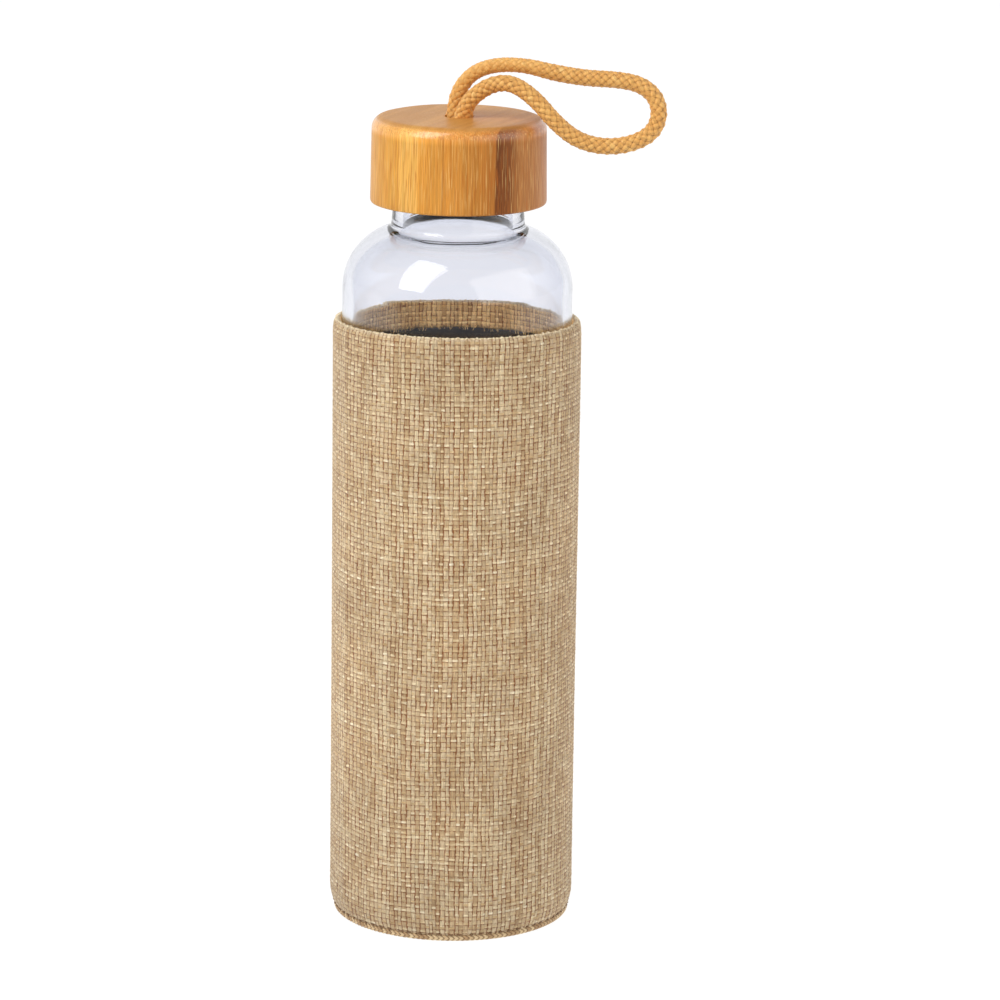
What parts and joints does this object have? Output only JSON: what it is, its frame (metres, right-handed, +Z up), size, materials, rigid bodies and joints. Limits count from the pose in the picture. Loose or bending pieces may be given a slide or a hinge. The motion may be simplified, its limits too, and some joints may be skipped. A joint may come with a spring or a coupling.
{
  "type": "glass water bottle with fabric sleeve",
  "caption": "Clear glass drinking bottle with a screw-on bamboo cap, a braided carrying loop and a woven slip-on fabric sleeve.",
  "frame": {"origin": "centre of the sleeve's underside, on the surface that the bottle stands on", "axes": "+Z up along the bottle's axis; +X is the side that the carrying loop leans to; -Y is the front"},
  "size_m": [0.0926, 0.07, 0.2484],
  "materials": {
    "jute_weave": "plain weave of slubby natural-coloured yarns, matte",
    "sleeve_lining_cloth": "dark brown felted lining cloth, matte",
    "sleeve_thread": "twisted sewing thread",
    "clear_glass": "clear polished glass",
    "bamboo": "laminated bamboo, satin clear coat",
    "liner_plastic": "translucent white moulded plastic",
    "seal_silicone": "milky silicone",
    "cord_braid": "round braid of honey-coloured cotton-like yarn"
  },
  "bodies": {
    "sleeve": {"sleeve_outer": "jute_weave", "sleeve_lining": "sleeve_lining_cloth", "sleeve_base": "jute_weave", "sleeve_base_lining": "sleeve_lining_cloth", "base_welt": "sleeve_thread", "base_stitches": "sleeve_thread"},
    "bottle": {"glass_bottle": "clear_glass"},
    "seal": {"seal_ring": "seal_silicone"},
    "cap": {"bamboo_cap": "bamboo", "cap_liner": "liner_plastic"},
    "cord": {"cord_loop": "cord_braid", "cord_knot": "cord_braid"}
  },
  "joints": [
    {"name": "bottle_lift", "type": "slide", "parent": "sleeve", "child": "bottle", "axis": [0, 0, 1], "range_m": [0, 0.18]},
    {"name": "cap_rise", "type": "slide", "parent": "bottle", "child": "seal", "axis": [0, 0, 1], "range_m": [0, 0.02]},
    {"name": "cap_turn", "type": "hinge", "parent": "seal", "child": "cap", "pos_m": [0, 0, 0.2185], "axis": [0, 0, 1], "range_deg": [0, 1800]},
    {"name": "cord_swivel", "type": "hinge", "parent": "cap", "child": "cord", "pos_m": [0, 0, 0.2294], "axis": [0, 0, 1], "continuous": true}
  ],
  "couplings": [
    {"joint": "cap_rise", "follows": "cap_turn", "m_per_rad": 0.0006366}
  ]
}
